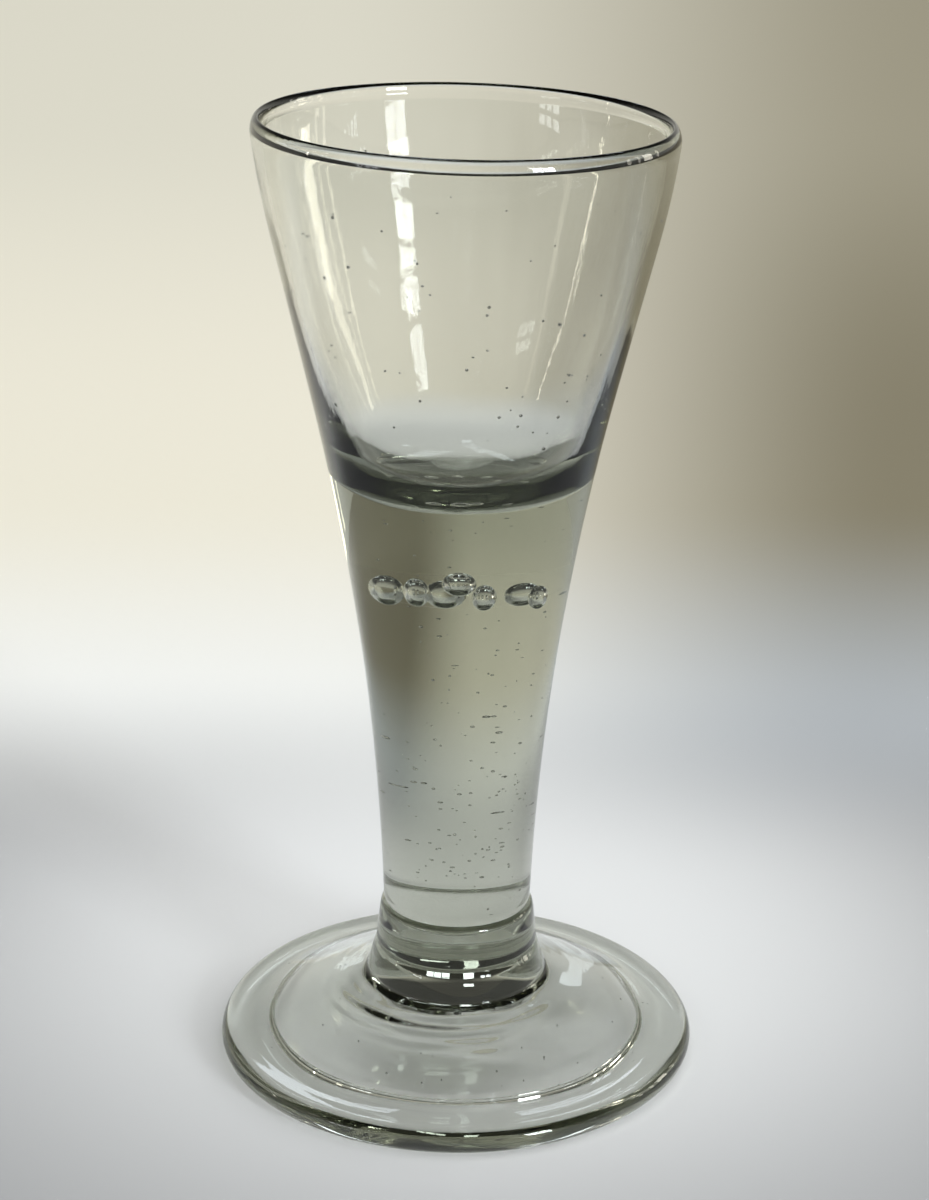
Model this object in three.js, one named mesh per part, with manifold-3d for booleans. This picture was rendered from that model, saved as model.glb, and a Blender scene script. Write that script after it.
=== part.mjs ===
// A hand-blown drinking glass of an old European form: a trumpet bowl on a thick solid stem, with a
// ring of air beads in the joint between them, then a collar and a conical foot with a folded edge.
// Millimetres, +Z up. The origin is the centre of the foot's resting plane, and -Y is the front.
import * as THREE from "three";
import { mergeVertices } from "three/addons/utils/BufferGeometryUtils.js";
import Module from "manifold-3d";

// Overall size
const height = 160;
const mouthDiameter = 66.4;
const footDiameter = 81.2;

// Heights of the pieces, which were joined hot
const collarSeat = 19;
const collarHeight = 8;
const stemHeight = 59;
const waist = collarSeat + collarHeight;
const beadPlane = waist + stemHeight;

// Trumpet outline: it leaves the waist nearly upright, flares evenly into a straight cone, and steepens
// again over the last stretch under the lip
const waistDiameter = 25;
const waistSlope = 0.03;
const flareLength = 88;
const lipEaseLength = 15.5;
const lipSlope = 0.128;

// Wall of the bowl, which swells towards its lip and towards the heel of the hollow
const wallThickness = 1.75;
const lipThickness = 2.2;
const lipRounding = 2.5;
const lipSwellLength = 14;
const heelThickness = 3.4;
const heelSwellLength = 23;

// Bottom of the bowl's hollow: a rounded floor, lowest on the axis, that rises to floorEdgeSlope degrees
// at its edge, and a rounded corner from there up to the heel
const floorThickness = 14.2;
const floorEdgeSlope = 8;
const floorCornerRadius = 14;
const heelRise = 9.65;

// Ring of air beads, each caught where the bowl was set on the pricked top of the stem.
// turn is degrees from the front towards the right, and rise is the centre above the joint. Width, tall
// and rise are shares of the ring's radius. Every bead crosses the joint, so that none is a sealed void.
const beadRingRadius = 8.5;
const beads = [
  { turn: -1, width: 0.52, tall: 0.48, rise: 0.19 },
  { turn: 21, width: 0.38, tall: 0.53, rise: 0.01 },
  { turn: 88, width: 0.28, tall: 0.49, rise: -0.19 },
  { turn: 143, width: 0.36, tall: 0.49, rise: -0.19 },
  { turn: -172, width: 0.39, tall: 0.59, rise: -0.21 },
  { turn: -130, width: 0.38, tall: 0.64, rise: -0.2 },
  { turn: -40, width: 0.41, tall: 0.59, rise: 0.06 },
];

// Collar between stem and foot: each reach is how far it stands out beyond the stem's lower end
const collarBaseReach = 1.3;
const collarShoulderReach = 0.7;
const collarShoulderDrop = 3;
const collarNeckReach = 0.2;
const collarNeckDrop = 0.6;

// Boss on the foot under the collar, and the fillet from the boss to the cone
const bossReach = 1.35;
const bossDrop = 4.7;
const bossShoulderDrop = 1.8;
const filletReach = 1.25;
const filletDrop = 1.3;

// Rim of the foot, from the lower edge of the cone to the ring it stands on
const coneEdgeReach = 3.9;
const coneEdgeRise = 0.7;
const rimTopWidth = 1.2;
const rimRadius = 2.3;
const restWidth = 1.6;

// Edge of the foot, folded back under it, and the crown of its underside
const foldWidth = 10.2;
const foldLipRadius = 0.9;
const foldLipHeight = 4;
const foldLift = 0.9;
const crownHeight = 9;
const crownMargin = 2.3;

// Scar of the pontil iron on the crown
const scarDiameter = 12.4;
const scarThickness = 1.3;
const scarRaggedness = 0.5;
const scarLobes = 3;
const scarTeeth = 7;
const scarPoints = 40;

const ringSteps = 48;
const flareSteps = 8;
const wallSteps = 10;
const arcSteps = 6;
const beadSteps = 14;
const mergeDistance = 1e-3;
const leanStep = 0.01;

const glassColour = 0xc9cec6;
const polished = 0.05;
const snapped = 0.5;

const wasm = await Module();
wasm.setup();

// Radius and height of one outline point
const at = (radius, z) => new THREE.Vector2(radius, z);

// Outline points made by a rule, from share 0 to share 1
function sweep(steps, rule) {
  return Array.from({ length: steps + 1 }, (_, i) => rule(i / steps));
}

// Outline points along a wall whose radius is a function of height
function wall(steps, from, to, radiusAt) {
  return sweep(steps, (share) => {
    const z = THREE.MathUtils.lerp(from, to, share);
    return at(radiusAt(z), z);
  });
}

// Points of an elliptical arc about a centre, by angles in degrees from the outward direction
function arc(centre, radial, vertical, from, to) {
  return sweep(arcSteps, (share) => {
    const angle = THREE.MathUtils.degToRad(THREE.MathUtils.lerp(from, to, share));
    return at(centre.x + radial * Math.cos(angle), centre.y + vertical * Math.sin(angle));
  });
}

// A closed solid turned from an outline that starts and ends on the axis
function turned(outline) {
  const points = outline.filter((p, i) => i === 0 || p.distanceTo(outline[i - 1]) > mergeDistance);
  return new THREE.LatheGeometry(points, ringSteps).rotateX(Math.PI / 2);
}

function solidOf(geometry) {
  const bare = geometry.clone();
  bare.deleteAttribute("normal");
  bare.deleteAttribute("uv");
  const merged = mergeVertices(bare, mergeDistance);
  return new wasm.Manifold(new wasm.Mesh({
    numProp: 3,
    vertProperties: merged.attributes.position.array,
    triVerts: new Uint32Array(merged.index.array),
  }));
}

function geometryOf(solid) {
  const mesh = solid.getMesh();
  const geometry = new THREE.BufferGeometry();
  geometry.setAttribute("position", new THREE.BufferAttribute(mesh.vertProperties, mesh.numProp));
  geometry.setIndex(new THREE.BufferAttribute(mesh.triVerts, 1));
  geometry.computeVertexNormals();
  return geometry;
}

// The trumpet outline that stem and bowl share
const lipStart = height - lipRounding;
const coneLength = lipStart - waist - flareLength;
const flareGain = (mouthDiameter - waistDiameter) / 2 - waistSlope * (flareLength / 2);
const easeStart = lipStart - lipEaseLength;
const easeLoss = lipSlope * lipEaseLength / 2;
const coneSlope = (flareGain - easeLoss) / (flareLength / 2 + coneLength - lipEaseLength / 2);

function outerRadius(z) {
  const up = Math.min(z - waist, flareLength);
  const flare = waistSlope * up + (coneSlope - waistSlope) * up ** 2 / (2 * flareLength);
  const cone = coneSlope * Math.max(z - waist - flareLength, 0);
  const eased = (coneSlope - lipSlope) * Math.max(z - easeStart, 0) ** 2 / (2 * lipEaseLength);
  return waistDiameter / 2 + flare + cone - eased;
}

// The hollow's wall runs beside the outside
const cavityFloor = beadPlane + floorThickness;
const heel = cavityFloor + heelRise;

function cavityRadius(z) {
  const nearHeel = Math.max(0, 1 - (z - heel) / heelSwellLength);
  const nearLip = Math.max(0, 1 - (lipStart - z) / lipSwellLength);
  const swell = (heelThickness - wallThickness) * nearHeel ** 2 + (lipThickness - wallThickness) * nearLip ** 2;
  return outerRadius(z) - wallThickness - swell;
}

// The corner leaves the heel at the wall's own lean, and the floor runs from the corner down to the axis
function hollowBottom() {
  const lean = Math.atan((cavityRadius(heel + leanStep) - cavityRadius(heel)) / leanStep);
  const radius = floorCornerRadius;
  const centre = at(cavityRadius(heel) - radius * Math.cos(lean), heel + radius * Math.sin(lean));
  const corner = arc(centre, radius, radius, -THREE.MathUtils.radToDeg(lean), floorEdgeSlope - 90);
  const edge = corner[arcSteps];
  const floor = new THREE.Path();
  floor.moveTo(edge.x, edge.y);
  floor.quadraticCurveTo(edge.x / 2, cavityFloor, 0, cavityFloor);
  return [...corner, ...floor.getPoints(arcSteps)];
}

// The beads as solids, to be cut from both sides of the joint: balls as wide as the ring's radius, scaled
// down to each bead's size
function beadSolids() {
  return beads.map((bead) => {
    const turn = THREE.MathUtils.degToRad(bead.turn);
    const ball = new THREE.SphereGeometry(beadRingRadius / 2, beadSteps, beadSteps / 2).rotateX(Math.PI / 2);
    const rise = beadRingRadius * bead.rise;
    ball.scale(bead.width, bead.width, bead.tall);
    ball.translate(beadRingRadius * Math.sin(turn), -beadRingRadius * Math.cos(turn), beadPlane + rise);
    return solidOf(ball);
  });
}

function pricked(geometry) {
  return geometryOf(beadSolids().reduce((solid, bead) => solid.subtract(bead), solidOf(geometry)));
}

function bowl() {
  const lip = at((mouthDiameter - lipThickness) / 2, lipStart);
  return pricked(turned([
    at(0, beadPlane),
    ...wall(flareSteps, beadPlane, lipStart, outerRadius),
    ...arc(lip, lipThickness / 2, lipRounding, 0, 180),
    ...wall(wallSteps, lipStart, heel, cavityRadius),
    ...hollowBottom(),
  ]));
}

function stem() {
  return pricked(turned([at(0, waist), ...wall(flareSteps, waist, beadPlane, outerRadius), at(0, beadPlane)]));
}

// The collar's sides widen downwards to the foot
const neck = waistDiameter / 2;
const collarBase = neck + collarBaseReach;

function collar() {
  const side = new THREE.Path();
  side.moveTo(collarBase, collarSeat);
  side.lineTo(neck + collarShoulderReach, waist - collarShoulderDrop);
  side.quadraticCurveTo(neck + collarNeckReach, waist - collarNeckDrop, neck, waist);
  return turned([at(0, collarSeat), ...side.getPoints(arcSteps), at(0, waist)]);
}

// The upper side of the foot, from its rim up the cone, round the fillet and up the boss
const rim = at(footDiameter / 2 - rimRadius, rimRadius);

function footTop() {
  const boss = at(collarBase + bossReach, collarSeat - bossDrop);
  const coneTop = at(boss.x + filletReach, boss.y - filletDrop);
  const rimTop = at(rim.x - rimTopWidth, 2 * rimRadius);
  const coneEdge = at(rimTop.x - coneEdgeReach, rimTop.y + coneEdgeRise);
  const slope = (coneTop.y - coneEdge.y) / (coneEdge.x - coneTop.x);
  const side = new THREE.Path();
  side.moveTo(rimTop.x, rimTop.y);
  side.quadraticCurveTo(coneEdge.x + coneEdgeRise / slope, rimTop.y, coneEdge.x, coneEdge.y);
  side.lineTo(coneTop.x, coneTop.y);
  side.quadraticCurveTo(boss.x, coneTop.y + slope * filletReach, boss.x, boss.y);
  side.quadraticCurveTo((boss.x + collarBase) / 2, collarSeat - bossShoulderDrop, collarBase, collarSeat);
  return side.getPoints(arcSteps);
}

// The underside runs from the crown out to the crease, then round the fold to the ring it stands on
function foot() {
  const fold = at(footDiameter / 2 - foldWidth + foldLipRadius, foldLift + foldLipHeight / 2);
  return turned([
    at(0, crownHeight),
    at(scarDiameter / 2 + crownMargin, crownHeight),
    ...arc(fold, foldLipRadius, foldLipHeight / 2, 90, 270),
    at(rim.x - restWidth, 0),
    ...arc(rim, rimRadius, rimRadius, -90, 90),
    ...footTop(),
    at(0, collarSeat),
  ]);
}

// The scar is a low patch of snapped glass with a ragged outline
function pontilScar() {
  const outline = new THREE.Shape(Array.from({ length: scarPoints }, (_, i) => {
    const turn = 2 * Math.PI * i / scarPoints;
    const ragged = (Math.sin(scarLobes * turn) + Math.sin(scarTeeth * turn)) / 2;
    const radius = scarDiameter / 2 + scarRaggedness * ragged;
    return at(radius * Math.cos(turn), radius * Math.sin(turn));
  }));
  const patch = new THREE.ExtrudeGeometry(outline, { depth: scarThickness, bevelEnabled: false });
  return patch.translate(0, 0, crownHeight - scarThickness);
}

function piece(name, geometry, roughness) {
  const material = new THREE.MeshStandardMaterial({ color: glassColour, roughness, metalness: 0 });
  const mesh = new THREE.Mesh(geometry, material);
  mesh.name = name;
  return mesh;
}

const glass = new THREE.Group();
glass.add(
  piece("bowl", bowl(), polished),
  piece("stem", stem(), polished),
  piece("collar", collar(), polished),
  piece("foot", foot(), polished),
  piece("pontil_scar", pontilScar(), snapped),
);

export default glass;
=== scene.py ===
import math
import random

import bmesh
import bpy
import numpy as np
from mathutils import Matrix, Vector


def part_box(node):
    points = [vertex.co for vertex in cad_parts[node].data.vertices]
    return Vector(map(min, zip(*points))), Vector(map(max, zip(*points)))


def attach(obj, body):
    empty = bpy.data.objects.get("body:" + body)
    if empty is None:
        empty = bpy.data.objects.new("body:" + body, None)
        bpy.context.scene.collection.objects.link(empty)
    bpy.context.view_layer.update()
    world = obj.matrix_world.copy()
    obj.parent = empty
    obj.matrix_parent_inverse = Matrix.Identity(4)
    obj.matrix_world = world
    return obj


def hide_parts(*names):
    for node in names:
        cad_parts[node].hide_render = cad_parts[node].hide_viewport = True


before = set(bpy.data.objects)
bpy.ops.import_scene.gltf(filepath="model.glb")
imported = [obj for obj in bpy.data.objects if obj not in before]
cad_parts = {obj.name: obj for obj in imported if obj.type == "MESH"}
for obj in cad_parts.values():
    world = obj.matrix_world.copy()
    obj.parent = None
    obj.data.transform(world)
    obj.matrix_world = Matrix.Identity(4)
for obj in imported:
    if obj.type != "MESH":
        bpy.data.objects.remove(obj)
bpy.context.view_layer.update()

# The glass is turned from outlines of (radius, height) in millimetres, as its CAD pieces are
MM = 0.001
bowl_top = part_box("bowl")[1] / MM
height = bowl_top.z
mouth_radius = bowl_top.x
foot_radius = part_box("foot")[1].x / MM
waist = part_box("stem")[0].z / MM
bead_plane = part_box("stem")[1].z / MM
collar_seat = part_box("collar")[0].z / MM
crown_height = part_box("pontil_scar")[1].z / MM
scar_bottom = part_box("pontil_scar")[0].z / MM

# Trumpet outline of stem and bowl
neck_radius = 12.5
waist_slope = 0.03
flare_length = 88.0

# Wall of the bowl and the hollow's bottom
wall_thickness = 1.75
lip_thickness = 2.2
lip_rounding = 2.5
lip_ease_length = 15.5
lip_slope = 0.128
lip_swell_length = 14.0
lip_inner_reach = 0.65
lip_inner_drop = 1.6
lip_inner_bend = 0.05
heel_thickness = 3.4
heel_swell_length = 23.0
floor_thickness = 14.2
floor_corner_radius = 14.0
heel_rise = 9.65
floor_edge_slope = math.radians(8)

# Collar, and the shallow grooves where the hot pieces met
collar_base_reach = 1.3
collar_shoulder_reach = 0.75
collar_shoulder_drop = 2.6
collar_bend_reach = 0.15
collar_bend_drop = 0.7
groove_depth = 0.16
groove_width = 0.45

# Foot
boss_reach = 1.35
boss_drop = 4.7
boss_shoulder_drop = 1.8
fillet_reach = 1.25
fillet_drop = 1.3
cone_edge_reach = 3.9
cone_edge_rise = 0.7
rim_top_width = 1.2
rim_radius = 2.3
rest_width = 1.6
fold_width = 10.2
fold_lip_radius = 0.9
fold_lip_height = 4.0
fold_lift = 0.9
crease_depth = 1.0
crease_gap = 0.35
crease_fall = 0.2
crown_margin = 2.3
crown_rounding = 1.5
crown_fall = 0.4

# Scar
scar_radius = 6.2
scar_edge_inset = 0.3
scar_lobes = 0.35
scar_lift = 0.45
scar_shells = 0.28
scar_least_thickness = 0.12

# Hand work: how far the surfaces stray from a true turning
outer_wander = 0.03
inner_wander = 0.035
floor_wander = 0.02
foot_wander = 0.03
under_wander = 0.05
crease_wander = 0.16
rim_wander = 0.09
stria_depth = 0.004
tool_mark_depth = 0.02
rim_tilt = math.radians(0.9)
lip_ovality = 0.25
lip_oval_turn = 0.6

# Where the hand work sets in or dies out, each from a start to an end
lip_calm_depths = (0.5, 9)
tilt_heights = (95, height)
floor_wave_radii = (0, 9)
tool_mark_radii = (15.2, 17)
tool_mark_fade_radii = (20, 26)
tool_mark_fade = 0.9
tool_mark_least = 0.35
tool_mark_gain = 0.85
tool_mark_turn = math.radians(235)
foot_wave_radii = (15.2, 19)
foot_calm_radii = (foot_radius - 4, foot_radius - 1)
under_wave_radii = (7, 12)
under_calm_radii = (27, 31)
rim_wave_radii = (34, foot_radius)
rim_calm_heights = (8, 14)
crease_wave_reach = 1.6
crease_calm_heights = (4.9, 5.4)

# Air beads in the joint of bowl and stem. turn is degrees from the front towards the right.
bead_ring_radius = 8.5
beads = [
    {"turn": -1, "width": 4.4, "tall": 4.1, "rise": 2.6},
    {"turn": 21, "width": 3.2, "tall": 4.5, "rise": 0.1},
    {"turn": 88, "width": 2.4, "tall": 4.2, "rise": -1.9},
    {"turn": 143, "width": 3.1, "tall": 4.2, "rise": -2.2},
    {"turn": -172, "width": 3.3, "tall": 5.0, "rise": -2.1},
    {"turn": -130, "width": 3.2, "tall": 5.4, "rise": -1.7},
    {"turn": -40, "width": 3.5, "tall": 5.0, "rise": 0.5},
]

AROUND = 288
JOINT_GAP = 0.02
SHARP_ANGLE = math.radians(35)
LEVEL = 0.999
JOINT_REACH = 0.6 * JOINT_GAP
LEAST_SPACING = 1e-4
ON_AXIS = 1e-6
BEAD_FINENESS = 5
SEED_FINENESS = 2


def smooth(x, low, high):
    """0 below low, 1 above high, and an even S-curve between."""
    t = np.clip((np.asarray(x, float) - low) / (high - low), 0, 1)
    return t * t * (3 - 2 * t)


# Outlines
def line(start, end, steps):
    return [tuple(p) for p in np.linspace(start, end, steps + 1)]


def arc(centre, radial, vertical, start, end, steps):
    angles = np.radians(np.linspace(start, end, steps + 1))
    return [(centre[0] + radial * math.cos(a), centre[1] + vertical * math.sin(a)) for a in angles]


def curve(start, control, end, steps):
    """A quadratic curve from start to end, drawn towards control."""
    a, b, c = (np.array(p, float) for p in (start, control, end))
    shares = np.linspace(0, 1, steps + 1)
    return [tuple((1 - t) ** 2 * a + 2 * t * (1 - t) * b + t * t * c) for t in shares]


lip_start = height - lip_rounding
cone_length = lip_start - waist - flare_length
flare_gain = mouth_radius - neck_radius - waist_slope * flare_length / 2
ease_start = lip_start - lip_ease_length
ease_loss = lip_slope * lip_ease_length / 2
cone_slope = (flare_gain - ease_loss) / (flare_length / 2 + cone_length - lip_ease_length / 2)


def groove(z, seat):
    return groove_depth * math.exp(-((z - seat) / groove_width) ** 2)


def trumpet(z):
    up = min(z - waist, flare_length)
    flare = waist_slope * up + (cone_slope - waist_slope) * up ** 2 / (2 * flare_length)
    cone = cone_slope * max(z - waist - flare_length, 0)
    eased = (cone_slope - lip_slope) * max(z - ease_start, 0) ** 2 / (2 * lip_ease_length)
    return neck_radius + flare + cone - eased - groove(z, waist)


hollow_floor = bead_plane + floor_thickness
heel = hollow_floor + heel_rise


def hollow(z):
    near_heel = max(0, 1 - (z - heel) / heel_swell_length)
    near_lip = max(0, 1 - (lip_start - z) / lip_swell_length)
    heel_swell = (heel_thickness - wall_thickness) * near_heel ** 2
    lip_swell = (lip_thickness - wall_thickness) * near_lip ** 2
    return trumpet(z) - wall_thickness - (heel_swell + lip_swell)


def wall(radius_at, start, end, steps):
    return [(radius_at(z), z) for z in np.linspace(start, end, steps + 1)]


def hollow_bottom():
    """The hollow's corner, which starts at the wall's own lean, and its floor down to the axis."""
    step = 0.01
    lean = math.atan((hollow(heel + step) - hollow(heel)) / step)
    radius = floor_corner_radius
    centre = (hollow(heel) - radius * math.cos(lean), heel + radius * math.sin(lean))
    corner_end = math.degrees(floor_edge_slope) - 90
    corner = arc(centre, radius, radius, -math.degrees(lean), corner_end, 26)
    edge = corner[-1]
    lowest = edge[1] - edge[0] / 2 * math.tan(floor_edge_slope)
    return corner, curve(edge, (edge[0] / 2, lowest), (0, lowest), 24)


def lip_outside():
    """The lip's outer side up to its crest, a quarter of an ellipse."""
    inner = mouth_radius - lip_thickness / 2
    return arc((inner, lip_start), lip_thickness / 2, lip_rounding, 0, 90, 18)


def lip_inside():
    """The lip's inner side, from its crest down to the wall of the hollow."""
    crest = (mouth_radius - lip_thickness / 2, height)
    edge = (crest[0] - lip_inner_reach, height - lip_inner_drop)
    start = (hollow(lip_start), lip_start)
    bend = (edge[0] - lip_inner_bend, (edge[1] + lip_start) / 2)
    rounding = arc((crest[0], edge[1]), lip_inner_reach, lip_inner_drop, 90, 180, 14)
    return rounding + curve(edge, bend, start, 8)


# Hand work on the surfaces: smooth random waves over turn and height
class Waves:
    """A sum of sine waves, whole in number round the axis. Its root mean square is about depth."""

    def __init__(self, seed, count, turns, lengths, depth):
        draw = random.Random(seed)
        self.parts = []
        for _ in range(count):
            number = draw.randint(*turns)
            pitch = 2 * math.pi / draw.uniform(*lengths) * draw.choice((-1, 1))
            self.parts.append((number, pitch, draw.uniform(0, 2 * math.pi), draw.uniform(0.5, 1)))
        self.scale = depth / math.sqrt(sum(p[3] ** 2 for p in self.parts) / 2)

    def __call__(self, turn, along):
        total = sum(a * np.sin(n * turn + k * along + p) for n, k, p, a in self.parts)
        return self.scale * total


outer_waves = Waves(seed=11, count=14, turns=(1, 6), lengths=(40, 140), depth=outer_wander)
inner_waves = Waves(seed=12, count=16, turns=(2, 10), lengths=(60, 200), depth=inner_wander)
striae = Waves(seed=26, count=12, turns=(18, 44), lengths=(150, 400), depth=stria_depth)
floor_waves = Waves(seed=13, count=8, turns=(1, 4), lengths=(9, 20), depth=floor_wander)
ring_waves = Waves(seed=14, count=9, turns=(0, 2), lengths=(2, 5), depth=tool_mark_depth)
foot_waves = Waves(seed=15, count=12, turns=(1, 6), lengths=(12, 36), depth=foot_wander)
under_waves = Waves(seed=16, count=12, turns=(1, 6), lengths=(8, 26), depth=under_wander)
crease_waves = Waves(seed=17, count=7, turns=(2, 9), lengths=(40, 90), depth=crease_wander)
rim_waves = Waves(seed=18, count=6, turns=(2, 6), lengths=(40, 90), depth=rim_wander)


def outer_shape(turn, r, z):
    """Outside of bowl, stem, collar and boss: the waves die out at the lip and at the boss's end."""
    above_boss = smooth(z, collar_seat - boss_drop, collar_seat)
    return outer_waves(turn, z) * smooth(height - z, *lip_calm_depths) * above_boss


def inner_shape(turn, r, z):
    """Wall and floor of the hollow. The waves turn into the floor's own towards the middle."""
    on_wall = smooth(z, hollow_floor + 1, heel + 4)
    wall_part = (inner_waves(turn, z) + striae(turn, z)) * smooth(height - z, *lip_calm_depths)
    floor_part = floor_waves(turn, r) * smooth(r, *floor_wave_radii)
    return wall_part * on_wall + floor_part * (1 - on_wall)


def foot_shape(turn, r, z):
    """Top of the foot: tool marks round the boss, strongest at the left of the front."""
    near_left = tool_mark_least + tool_mark_gain * smooth(np.cos(turn - tool_mark_turn), -0.1, 1)
    near_boss = smooth(r, *tool_mark_radii) * (1 - tool_mark_fade * smooth(r, *tool_mark_fade_radii))
    marks = ring_waves(turn, r) * near_left * near_boss
    slow = foot_waves(turn, r) * smooth(r, *foot_wave_radii)
    return (marks + slow) * (1 - smooth(r, *foot_calm_radii))


def under_shape(turn, r, z):
    """Underside of the foot. The ring that it stands on stays flat."""
    return under_waves(turn, r) * smooth(r, *under_wave_radii) * (1 - smooth(r, *under_calm_radii))


def flat_shape(turn, r, z):
    return np.zeros_like(turn)


def settle(co, turn):
    """What moves a whole stretch: the lip's tilt and oval, the foot's edge, the fold's edge."""
    x, y, z = co[:, 0], co[:, 1], co[:, 2]
    r = np.hypot(x, y)
    up = smooth(z, *tilt_heights)
    oval = lip_ovality * up * np.cos(2 * turn + lip_oval_turn)
    low = 1 - smooth(z, *rim_calm_heights)
    rim_part = rim_waves(turn, 0) * smooth(r, *rim_wave_radii) * low
    from_crease = (r - (foot_radius - fold_width)) / crease_wave_reach
    near_crease = np.exp(-from_crease ** 2) * (1 - smooth(z, *crease_calm_heights))
    shift = oval + rim_part + crease_waves(turn, 0) * near_crease
    scale = np.where(r > ON_AXIS, (r + shift) / np.maximum(r, ON_AXIS), 1)
    co[:, 0] *= scale
    co[:, 1] *= scale
    co[:, 2] -= math.tan(rim_tilt) * x * up
    return co


# Meshes
def add_object(name, data):
    made = bpy.data.objects.new(name, data)
    bpy.context.scene.collection.objects.link(made)
    return made


def outward(outline, level):
    """The outline's normals, or level ones for a steep side, which leave its ends' heights alone."""
    if level or len(outline) < 2:
        return [(1.0, 0.0)] * len(outline)
    along = np.gradient(np.array(outline, float), axis=0)
    normals = np.stack([along[:, 1], -along[:, 0]], 1)
    return (normals / np.linalg.norm(normals, axis=1)[:, None]).tolist()


def ringed(name, first, rings, final, downward=False):
    """A closed mesh through rings of AROUND points, from one height on the axis to another.

    The rings start at the bottom, or at the top if downward."""
    vertices = np.vstack([[(0, 0, first)], *rings, [(0, 0, final)]])
    last = len(vertices) - 1
    starts = [1 + i * AROUND for i in range(len(rings))]
    faces = []
    for k in range(AROUND):
        n = (k + 1) % AROUND
        faces.append((0, starts[0] + n, starts[0] + k))
        for a, b in zip(starts, starts[1:]):
            faces.append((a + k, a + n, b + n, b + k))
        faces.append((last, starts[-1] + k, starts[-1] + n))
    if downward:
        faces = [face[:1] + face[:0:-1] for face in faces]
    mesh = bpy.data.meshes.new(name)
    mesh.from_pydata((vertices * MM).tolist(), [], faces)
    return add_object(name, mesh)


def turned(name, stretches):
    """A closed mesh turned from stretches of (outline points, shape), from axis to axis.

    A shape gives how far each point stands out from the outline."""
    points, shapes, normals = [], [], []
    for outline, shape in stretches:
        for p, normal in zip(outline, outward(outline, shape is outer_shape)):
            if not points or math.dist(p, points[-1]) > LEAST_SPACING:
                points.append(p)
                shapes.append(shape)
                normals.append(normal)
    turns = np.arange(AROUND) * 2 * math.pi / AROUND
    rings = []
    for (r, z), normal, shape in zip(points[1:-1], normals[1:-1], shapes[1:-1]):
        out = shape(turns, np.full(AROUND, r), np.full(AROUND, z))
        radius = r + normal[0] * out
        ring = np.stack([radius * np.cos(turns), radius * np.sin(turns), z + normal[1] * out], 1)
        rings.append(settle(ring, turns))
    return ringed(name, points[0][1], rings, points[-1][1])


def ball_mesh(name, balls, fineness, inward=False):
    """One mesh of stretched balls, each (centre, radii, lean in radians) in millimetres."""
    bm = bmesh.new()
    for centre, radii, lean in balls:
        made = bmesh.ops.create_icosphere(bm, subdivisions=fineness, radius=1)["verts"]
        for v in made:
            p = [c * s for c, s in zip(v.co, radii)]
            x = p[0] * math.cos(lean) - p[2] * math.sin(lean)
            z = p[0] * math.sin(lean) + p[2] * math.cos(lean)
            v.co = ((x + centre[0]) * MM, (p[1] + centre[1]) * MM, (z + centre[2]) * MM)
    if inward:
        bmesh.ops.reverse_faces(bm, faces=bm.faces)
    mesh = bpy.data.meshes.new(name)
    bm.to_mesh(mesh)
    bm.free()
    return mesh


def polar(turn, r, z):
    """A point at a turn, in radians, from the front towards the right."""
    return (r * math.sin(turn), -r * math.cos(turn), z)


def bead_cutter():
    balls = []
    for bead in beads:
        centre = polar(math.radians(bead["turn"]), bead_ring_radius, bead_plane + bead["rise"])
        balls.append((centre, (bead["width"] / 2, bead["width"] / 2, bead["tall"] / 2), 0))
    return add_object("bead_cutter", ball_mesh("bead_cutter", balls, BEAD_FINENESS))


def cut(obj, cutter):
    """Takes the cutter out of obj's own mesh."""
    modifier = obj.modifiers.new("beads", "BOOLEAN")
    modifier.operation = "DIFFERENCE"
    modifier.solver = "EXACT"
    modifier.object = cutter
    bpy.context.view_layer.update()
    evaluated = obj.evaluated_get(bpy.context.evaluated_depsgraph_get())
    result = bpy.data.meshes.new_from_object(evaluated)
    obj.modifiers.remove(modifier)
    obj.data = result


def add_seeds(obj, balls):
    """Tiny bubbles in the glass: small hollows, as inward-facing balls in obj's own mesh."""
    bm = bmesh.new()
    bm.from_mesh(obj.data)
    bm.from_mesh(ball_mesh(obj.name + "_seeds", balls, SEED_FINENESS, inward=True))
    bm.to_mesh(obj.data)
    bm.free()


def finish_mesh(obj, joints):
    """Smooth faces with sharp edges kept, and the attribute skin: 1 on real surfaces, 0 on fused joints."""
    bm = bmesh.new()
    bm.from_mesh(obj.data)
    for face in bm.faces:
        face.smooth = True
    for edge in bm.edges:
        edge.smooth = len(edge.link_faces) == 2 and edge.calc_face_angle(0) < SHARP_ANGLE
    bm.to_mesh(obj.data)
    bm.free()
    skin = obj.data.attributes.new("skin", "FLOAT", "FACE")
    flags = []
    for face in obj.data.polygons:
        level = abs(face.normal.z) > LEVEL
        at_joint = any(abs(face.center.z / MM - z) < JOINT_REACH for z in joints)
        flags.append(0.0 if level and at_joint else 1.0)
    skin.data.foreach_set("value", flags)


# Seeds
seed_shrink = (0.6, 1)
seed_lean = (-0.15, 0.15)


def seeds(seed, count, place, sizes, stretch):
    """Random bubbles: place(draw) gives a centre, sizes the diameters, stretch how wide for their height."""
    draw = random.Random(seed)
    balls = []
    for _ in range(count):
        centre = place(draw)
        size = draw.uniform(*sizes) * draw.uniform(*seed_shrink) / 2
        across = draw.uniform(*stretch)
        radii = (size * across, size * across ** 0.5, size)
        balls.append((centre, radii, draw.uniform(*seed_lean)))
    return balls


def anywhere(draw):
    return draw.uniform(0, 2 * math.pi)


def in_stem(draw):
    """Mostly in the back right half of the stem."""
    back_right, spread, cover = 2.5, 1.3, 0.9
    top, low = bead_plane - 3, waist + 2
    z = top - (top - low) * draw.random() ** 0.8
    return polar(draw.gauss(back_right, spread), (trumpet(z) - cover) * draw.random() ** 0.45, z)


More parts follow.
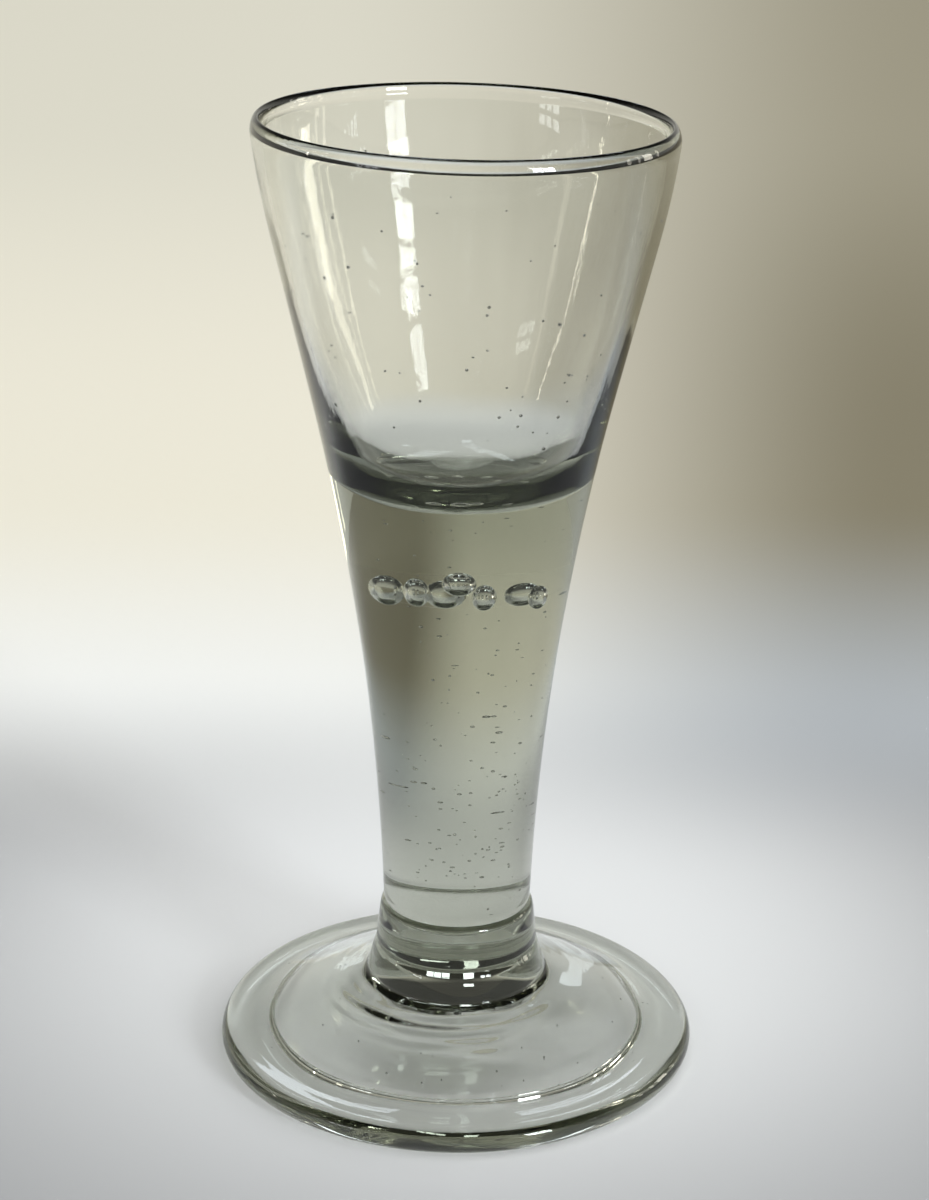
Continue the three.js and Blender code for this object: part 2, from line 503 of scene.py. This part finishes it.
def in_base(draw):
    """In the solid glass under the hollow."""
    low, top, cover = bead_plane + 4, hollow_floor - 1.2, 1
    z = draw.uniform(low, top)
    return polar(anywhere(draw), (trumpet(z) - cover) * draw.random() ** 0.5, z)


def in_wall(draw):
    """In the middle of the bowl's wall."""
    low, top = heel + 2, height - 9
    z = draw.uniform(low, top)
    return polar(anywhere(draw), (trumpet(z) + hollow(z)) / 2, z)


def in_collar(draw):
    low, top, cover = collar_seat + 1, waist - 1, 1.5
    z = draw.uniform(low, top)
    return polar(anywhere(draw), (neck_radius - cover) * draw.random() ** 0.5, z)


def in_foot(draw):
    """About halfway through the foot's cone, whose middle falls towards the rim."""
    middle_at_axis, fall, reach = 9.3, 0.17, (18, 36)
    r = draw.uniform(*reach)
    return polar(anywhere(draw), r, middle_at_axis - fall * r)


# Pieces
def bowl(cutter):
    seat = bead_plane + JOINT_GAP / 2
    corner, floor = hollow_bottom()
    made = turned("bowl", [
        ([(0, seat)], flat_shape),
        (wall(trumpet, seat, lip_start, 110), outer_shape),
        (lip_outside(), outer_shape),
        (lip_inside(), inner_shape),
        (wall(hollow, lip_start, heel, 90), inner_shape),
        (corner, inner_shape),
        (floor, inner_shape),
    ])
    cut(made, cutter)
    wall_seeds = seeds(seed=21, count=90, place=in_wall, sizes=(0.3, 0.65), stretch=(1, 1.3))
    base_seeds = seeds(seed=22, count=22, place=in_base, sizes=(0.15, 0.35), stretch=(1, 1.6))
    add_seeds(made, wall_seeds + base_seeds)
    finish_mesh(made, [seat])
    return made


def stem(cutter):
    low = waist + JOINT_GAP / 2
    top = bead_plane - JOINT_GAP / 2
    fine_end = low + 4
    made = turned("stem", [
        ([(0, low)], flat_shape),
        (wall(trumpet, low, fine_end, 16) + wall(trumpet, fine_end, top, 80), outer_shape),
        ([(0, top)], flat_shape),
    ])
    cut(made, cutter)
    round_seeds = seeds(seed=23, count=260, place=in_stem, sizes=(0.18, 0.5), stretch=(0.7, 1.2))
    wide_seeds = seeds(seed=27, count=26, place=in_stem, sizes=(0.2, 0.4), stretch=(1.5, 2.6))
    add_seeds(made, round_seeds + wide_seeds)
    finish_mesh(made, [low, top])
    return made


def collar_side(low, top):
    """The collar's side from its base up to the stem, with the grooves of both joints."""
    base = neck_radius + collar_base_reach
    shoulder = (neck_radius + collar_shoulder_reach, waist - collar_shoulder_drop)
    bend = (shoulder[0] - collar_bend_reach, waist - collar_bend_drop)
    points = line((base, low), shoulder, 18) + curve(shoulder, bend, (neck_radius, top), 22)
    return [(r - groove(z, collar_seat) - groove(z, waist), z) for r, z in points]


def collar():
    low = collar_seat + JOINT_GAP / 2
    top = waist - JOINT_GAP / 2
    made = turned("collar", [
        ([(0, low)], flat_shape),
        (collar_side(low, top), outer_shape),
        ([(0, top)], flat_shape),
    ])
    add_seeds(made, seeds(seed=24, count=10, place=in_collar, sizes=(0.15, 0.35), stretch=(1, 1.8)))
    finish_mesh(made, [low, top])
    return made


def boss_end():
    return (neck_radius + collar_base_reach + boss_reach, collar_seat - boss_drop)


def boss_side(seat):
    """The boss, from the fillet up to the collar."""
    base = neck_radius + collar_base_reach
    shoulder = (base + boss_reach / 2, collar_seat - boss_shoulder_drop)
    points = curve(boss_end(), shoulder, (base, seat), 20)
    return [(r - groove(z, collar_seat), z) for r, z in points]


def foot_top():
    """The upper side of the foot, from its rim up the cone and round the fillet."""
    boss = boss_end()
    cone_top = (boss[0] + fillet_reach, boss[1] - fillet_drop)
    rim_top = (foot_radius - rim_radius - rim_top_width, 2 * rim_radius)
    cone_edge = (rim_top[0] - cone_edge_reach, rim_top[1] + cone_edge_rise)
    slope = (cone_top[1] - cone_edge[1]) / (cone_edge[0] - cone_top[0])
    points = curve(rim_top, (cone_edge[0] + cone_edge_rise / slope, rim_top[1]), cone_edge, 14)
    points += line(cone_edge, cone_top, 80)
    return points + curve(cone_top, (boss[0], cone_top[1] + slope * fillet_reach), boss, 20)


def foot():
    seat = collar_seat - JOINT_GAP / 2
    rim = (foot_radius - rim_radius, rim_radius)
    rest_inside = (rim[0] - rest_width, 0)
    fold = (foot_radius - fold_width + fold_lip_radius, fold_lift + fold_lip_height / 2)
    crown_edge = (scar_radius + crown_margin, crown_height)
    crown_flat = (crown_edge[0] - crown_rounding, crown_height)
    crown_end = (crown_edge[0] + crown_rounding, crown_height - crown_fall)
    crease = (fold[0] - fold_lip_radius, fold_lift + fold_lip_height + crease_gap)
    slit = (crease[0] + crease_depth, crease[1] - crease_fall)
    made = turned("foot", [
        ([(0, crown_height)], flat_shape),
        (line((scar_radius, crown_height), crown_flat, 3), flat_shape),
        (curve(crown_flat, crown_edge, crown_end, 8), under_shape),
        (line(crown_end, crease, 60), under_shape),
        (line(crease, slit, 4), flat_shape),
        (arc(fold, fold_lip_radius, fold_lip_height / 2, 100, 270, 28), flat_shape),
        (line((fold[0], fold_lift), rest_inside, 10), flat_shape),
        (line(rest_inside, (rim[0], 0), 3), flat_shape),
        (arc(rim, rim_radius, rim_radius, -90, 90, 36), flat_shape),
        (foot_top(), foot_shape),
        (boss_side(seat), outer_shape),
        ([(0, seat)], flat_shape),
    ])
    add_seeds(made, seeds(seed=25, count=46, place=in_foot, sizes=(0.18, 0.42), stretch=(1, 1.7)))
    finish_mesh(made, [seat])
    return made


def pontil_scar():
    """Snapped glass: a ragged patch whose lower face is broken into shallow shells."""
    top = crown_height - JOINT_GAP
    mean = scar_bottom + scar_lift
    lobes = Waves(seed=19, count=6, turns=(2, 9), lengths=(40, 90), depth=scar_lobes)
    shells = Waves(seed=20, count=14, turns=(1, 6), lengths=(1.6, 5), depth=scar_shells)
    turns = np.arange(AROUND) * 2 * math.pi / AROUND
    edge = scar_radius - scar_edge_inset + lobes(turns, 0)
    across, along = edge * np.cos(turns), edge * np.sin(turns)
    rings = [np.stack([across, along, np.full(AROUND, top)], 1)]
    for share in np.linspace(1, 0.04, 26):
        drop = shells(turns, share * scar_radius) * smooth(share, 0, 0.3)
        z = np.clip(mean + drop, scar_bottom, top - scar_least_thickness)
        rings.append(np.stack([across * share, along * share, z], 1))
    made = ringed("pontil_scar", top, rings, mean, downward=True)
    finish_mesh(made, [top])
    return made


# Materials
class Nodes:
    """Adds shader nodes to a material or world. An input is a number, a colour or a node's output."""

    def __init__(self, owner):
        owner.use_nodes = True
        self.tree = owner.node_tree
        self.tree.nodes.clear()

    def add(self, kind, inputs=None, output=0, **settings):
        made = self.tree.nodes.new("ShaderNode" + kind)
        for name, value in settings.items():
            setattr(made, name, value)
        for name, value in (inputs or {}).items():
            if isinstance(value, bpy.types.NodeSocket):
                self.tree.links.new(value, made.inputs[name])
            else:
                made.inputs[name].default_value = value
        return made.outputs[output]

    def finish(self, kind, **shaders):
        out = self.tree.nodes.new("ShaderNodeOutput" + kind)
        for name, shader in shaders.items():
            self.tree.links.new(shader, out.inputs[name])

    def math(self, operation, a, b=0.0):
        return self.add("Math", {0: a, 1: b}, operation=operation)

    def axes(self, vector):
        return self.add("SeparateXYZ", {0: vector}).node.outputs

    def dot(self, a, b):
        return self.add("VectorMath", {0: a, 1: b}, output="Value", operation="DOT_PRODUCT")

    def distance(self, x, y):
        squares = self.math("ADD", self.math("MULTIPLY", x, x), self.math("MULTIPLY", y, y))
        return self.math("SQRT", squares)

    def mix(self, share, a, b):
        return self.add("Mix", {0: share, 6: a, 7: b}, output=2, data_type="RGBA")

    def ramp(self, value, low, high, start=0.0, end=1.0):
        inputs = {"Value": value, "From Min": low, "From Max": high, "To Min": start, "To Max": end}
        return self.add("MapRange", inputs, interpolation_type="SMOOTHSTEP")


GLASS_TINT = (0.79, 0.80, 0.76, 1)
GLASS_DENSITY = 115.0
GLASS_IOR = 1.51
SURFACE_TINT = (0.955, 0.96, 0.945, 1)
SMEAR_SCALE = 120.0
SMEAR_RANGE = (0.45, 0.75)
STRAND_SCALES = (1700.0, 1700.0, 60.0)


def glass(name, roughness, wear, strand_depth):
    """Old glass: a grey-green tint that grows with depth, faint smears, and fine drawn-out strands."""
    material = bpy.data.materials.new(name)
    nodes = Nodes(material)
    place = nodes.add("TexCoord", output="Object")
    smears = nodes.add("TexNoise", {"Vector": place, "Scale": SMEAR_SCALE, "Detail": 4.0})
    rough = nodes.ramp(smears, *SMEAR_RANGE, start=roughness, end=wear)
    stretched = nodes.add("Mapping", {"Vector": place, "Scale": STRAND_SCALES})
    strands = nodes.add("TexNoise", {"Vector": stretched, "Scale": 1.0, "Detail": 2.0})
    bump = nodes.add("Bump", {"Height": strands, "Strength": 1.0, "Distance": strand_depth})
    skin = nodes.add("Attribute", output=2, attribute_name="skin")
    surface = nodes.add("BsdfPrincipled", {
        "Base Color": SURFACE_TINT,
        "Roughness": rough,
        "IOR": GLASS_IOR,
        "Transmission Weight": 1.0,
        "Alpha": skin,
        "Normal": bump,
    })
    depth = nodes.add("VolumeAbsorption", {"Color": GLASS_TINT, "Density": GLASS_DENSITY})
    nodes.finish("Material", Surface=surface, Volume=depth)
    return material


def dress(obj, node, material):
    obj.data.materials.clear()
    obj.data.materials.append(material)
    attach(obj, "root")
    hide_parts(node)


# Floor, in metres. A change of tone runs from its first distance to its second.
FLOOR_RADIUS = 3.0
FLOOR_DROP = 0.0001
BEHIND_CHANGE = (0.06, 0.17)
WARM_CHANGE = (0.12, 0.30)
FAR_CHANGE = (0.35, 0.85)
# Painted light: a bright pool on the floor round the glass, dimmer away from it
PAINTED_POOL_PLACE = 0.04
PAINTED_POOL_CHANGE = (0.14, 0.02)
PAINTED_POOL_BRIGHT, PAINTED_POOL_DIM = (0.86, 0.87, 0.86, 1), (0.38, 0.385, 0.385, 1)
# Painted shade: the floor darkens towards the right, in a fan from a point in front of the glass
SIDE_FAN_DISTANCE = 0.42
SIDE_FAN_LEAST = 0.05
# Metres to the side for each metre from the fan's point
SIDE_CHANGE = (-0.06, 0.17)
# The right tones are darker than the left ones as painted shade
LEFT_NEAR, LEFT_WARM, LEFT_FAR = (0.93, 0.94, 0.91, 1), (0.88, 0.84, 0.70, 1), (0.78, 0.755, 0.63, 1)
RIGHT_NEAR, RIGHT_WARM, RIGHT_FAR = (0.46, 0.49, 0.51, 1), (0.25, 0.225, 0.155, 1), (0.37, 0.34, 0.25, 1)

# World. Its changes run over the upward part of a direction, and over how far it faces the daylight.
BACKDROP, CEILING = (0.66, 0.65, 0.58, 1), (0.06, 0.06, 0.052, 1)
CEILING_CHANGE = (0.08, 0.45)
DAYLIGHT_FROM = (0.58, -0.69, 0.43)
DAYLIGHT_CHANGE = (-0.35, 0.75)
SHADE, DAYLIGHT = (0.23, 0.23, 0.23, 1), (1.35, 1.36, 1.38, 1)


def floor_colour(nodes):
    """Pale round the glass, as a painted pool of light that dims away from it. Behind it the floor is warm,
    lighter on the left and darkened towards the right by painted shade.

    The painted shade from left to right fans out from a point in front of the glass."""
    x, y = nodes.axes(nodes.add("NewGeometry"))[:2]
    fan = nodes.math("MAXIMUM", nodes.math("ADD", y, SIDE_FAN_DISTANCE), SIDE_FAN_LEAST)
    # Painted shade that darkens the floor towards the right
    across = nodes.ramp(nodes.math("DIVIDE", x, fan), *SIDE_CHANGE)
    warm = nodes.ramp(y, *WARM_CHANGE)
    far = nodes.ramp(y, *FAR_CHANGE)
    left = nodes.mix(far, nodes.mix(warm, LEFT_NEAR, LEFT_WARM), LEFT_FAR)
    right = nodes.mix(far, nodes.mix(warm, RIGHT_NEAR, RIGHT_WARM), RIGHT_FAR)
    # Painted light: a bright pool round the glass, fading to the dimmer near tone
    painted_pool = nodes.ramp(nodes.distance(x, nodes.math("SUBTRACT", y, PAINTED_POOL_PLACE)), *PAINTED_POOL_CHANGE)
    near = nodes.mix(painted_pool, PAINTED_POOL_DIM, PAINTED_POOL_BRIGHT)
    return nodes.mix(nodes.ramp(y, *BEHIND_CHANGE), near, nodes.mix(across, left, right))


def stage_floor():
    mesh = bpy.data.meshes.new("floor")
    bm = bmesh.new()
    bmesh.ops.create_circle(bm, cap_ends=True, segments=96, radius=FLOOR_RADIUS)
    bm.to_mesh(mesh)
    bm.free()
    made = add_object("floor", mesh)
    made.location.z = -FLOOR_DROP
    material = bpy.data.materials.new("floor")
    nodes = Nodes(material)
    nodes.finish("Material", Surface=nodes.add("BsdfDiffuse", {"Color": floor_colour(nodes)}))
    mesh.materials.append(material)


def surroundings():
    """A pale backdrop that darkens overhead, the same for camera and glass, and soft light for the floor."""
    world = bpy.data.worlds.new("studio")
    bpy.context.scene.world = world
    nodes = Nodes(world)
    direction = nodes.add("TexCoord")
    up = nodes.axes(direction)[2]
    seen = nodes.mix(nodes.ramp(up, *CEILING_CHANGE), BACKDROP, CEILING)
    facing = nodes.dot(direction, DAYLIGHT_FROM)
    light = nodes.mix(nodes.ramp(facing, *DAYLIGHT_CHANGE), SHADE, DAYLIGHT)
    from_floor = nodes.math("MINIMUM", nodes.add("LightPath", output="Diffuse Depth"), 1.0)
    colour = nodes.mix(from_floor, seen, light)
    nodes.finish("World", Surface=nodes.add("Background", {"Color": colour}))


LIGHT_DISTANCE = 1.6
LIGHT_AIM = np.array([0, 0, 0.1])
SKY, CREAM, BLUE = (0.92, 0.96, 1.0), (1.0, 0.95, 0.82), (0.85, 0.92, 1.0)


def softbox(name, azimuth, elevation, width, tall, strength, colour, glints_only=True):
    """A soft light that faces the glass. azimuth is degrees from the camera's side towards the right."""
    light = bpy.data.lights.new(name, "AREA")
    light.shape = "RECTANGLE"
    light.size, light.size_y = width, tall
    light.energy = strength * width * tall * math.pi
    light.color = colour
    made = add_object(name, light)
    a, e = math.radians(azimuth), math.radians(elevation)
    away = np.array([math.sin(a) * math.cos(e), -math.cos(a) * math.cos(e), math.sin(e)])
    made.location = away * LIGHT_DISTANCE + LIGHT_AIM
    made.rotation_euler = (math.pi / 2 - e, 0, a)
    made.visible_camera = False
    made.visible_diffuse = not glints_only


def window(name, azimuth, elevation, columns, rows, pane, bar, strength, colour, glints_only=True):
    """Panes side by side, from the lowest row up. azimuth is the middle, elevation the lowest row's."""
    wide, tall = pane
    for column in range(columns):
        for row in range(rows):
            a = azimuth + (column - (columns - 1) / 2) * math.degrees((wide + bar) / LIGHT_DISTANCE)
            e = elevation + row * math.degrees((tall + bar) / LIGHT_DISTANCE)
            softbox(f"{name}_{column}_{row}", a, e, wide, tall, strength, colour, glints_only)


def lights():
    """The window that lights the floor, and lights that show only as glints in the glass."""
    window("front_right", azimuth=40, elevation=8.4, columns=2, rows=4, pane=(0.16, 0.085),
           bar=0.02, strength=36.0, colour=SKY, glints_only=False)
    window("sparkle", azimuth=70, elevation=7, columns=5, rows=2, pane=(0.03, 0.03),
           bar=0.04, strength=6.0, colour=BLUE)
    window("left", azimuth=-51, elevation=0.6, columns=3, rows=2, pane=(0.10, 0.05),
           bar=0.03, strength=6.0, colour=SKY)
    softbox("slit_left", azimuth=-89, elevation=7, width=0.035, tall=0.26, strength=12.0, colour=CREAM)
    softbox("haze_left", azimuth=-66, elevation=12, width=0.12, tall=0.20, strength=1.5, colour=CREAM)
    for azimuth, width, strength in ((93, 0.07, 3.6), (101, 0.06, 2.7), (109, 0.20, 6.0), (119, 0.06, 2.4)):
        softbox(f"strip_{azimuth}", azimuth, elevation=6, width=width, tall=0.40,
                strength=strength, colour=CREAM)
    for elevation in (34, 46, 58, 70):
        softbox(f"stripe_{elevation}", azimuth=186.5, elevation=elevation, width=0.12, tall=0.30,
                strength=4.0, colour=BLUE)
    window("back", azimuth=171, elevation=34, columns=3, rows=3, pane=(0.085, 0.085),
           bar=0.03, strength=4.0, colour=BLUE)
    window("back_right", azimuth=146, elevation=44, columns=2, rows=2, pane=(0.06, 0.06),
           bar=0.02, strength=6.0, colour=BLUE)


FOCAL_PX = 2761.0
FRAME_PX = 1200.0
SENSOR = 36.0
CAMERA_PLACE = (0.0007, -0.4251, 0.2392)
CAMERA_PITCH = math.radians(20.45)
CAMERA_ROLL = math.radians(0.7)


def camera():
    """The photograph's view, fitted to the ellipses of rim and foot."""
    data = bpy.data.cameras.new("camera")
    data.sensor_width = SENSOR
    data.lens = SENSOR * FOCAL_PX / FRAME_PX
    data.clip_start = 0.02
    made = add_object("camera", data)
    made.location = CAMERA_PLACE
    made.rotation_mode = "XYZ"
    made.rotation_euler = (math.pi / 2 - CAMERA_PITCH, 0, 0)
    made.rotation_euler.rotate_axis("Z", CAMERA_ROLL)
    bpy.context.scene.camera = made


camera()
surroundings()
stage_floor()
lights()

clear = glass("clear_glass", roughness=0.0, wear=0.03, strand_depth=0.000004)
solid = glass("clear_glass_solid", roughness=0.0, wear=0.03, strand_depth=0.000001)
snapped = glass("snapped_glass", roughness=0.22, wear=0.4, strand_depth=0.00015)

cutter = bead_cutter()
dress(bowl(cutter), "bowl", clear)
dress(stem(cutter), "stem", solid)
dress(collar(), "collar", solid)
dress(foot(), "foot", solid)
dress(pontil_scar(), "pontil_scar", snapped)
bpy.data.objects.remove(cutter)

scene = bpy.context.scene
scene.view_settings.view_transform = "Standard"
scene.cycles.max_bounces = 32
scene.cycles.transmission_bounces = 32
scene.cycles.glossy_bounces = 16
scene.cycles.transparent_max_bounces = 32
scene.cycles.blur_glossy = 0.0
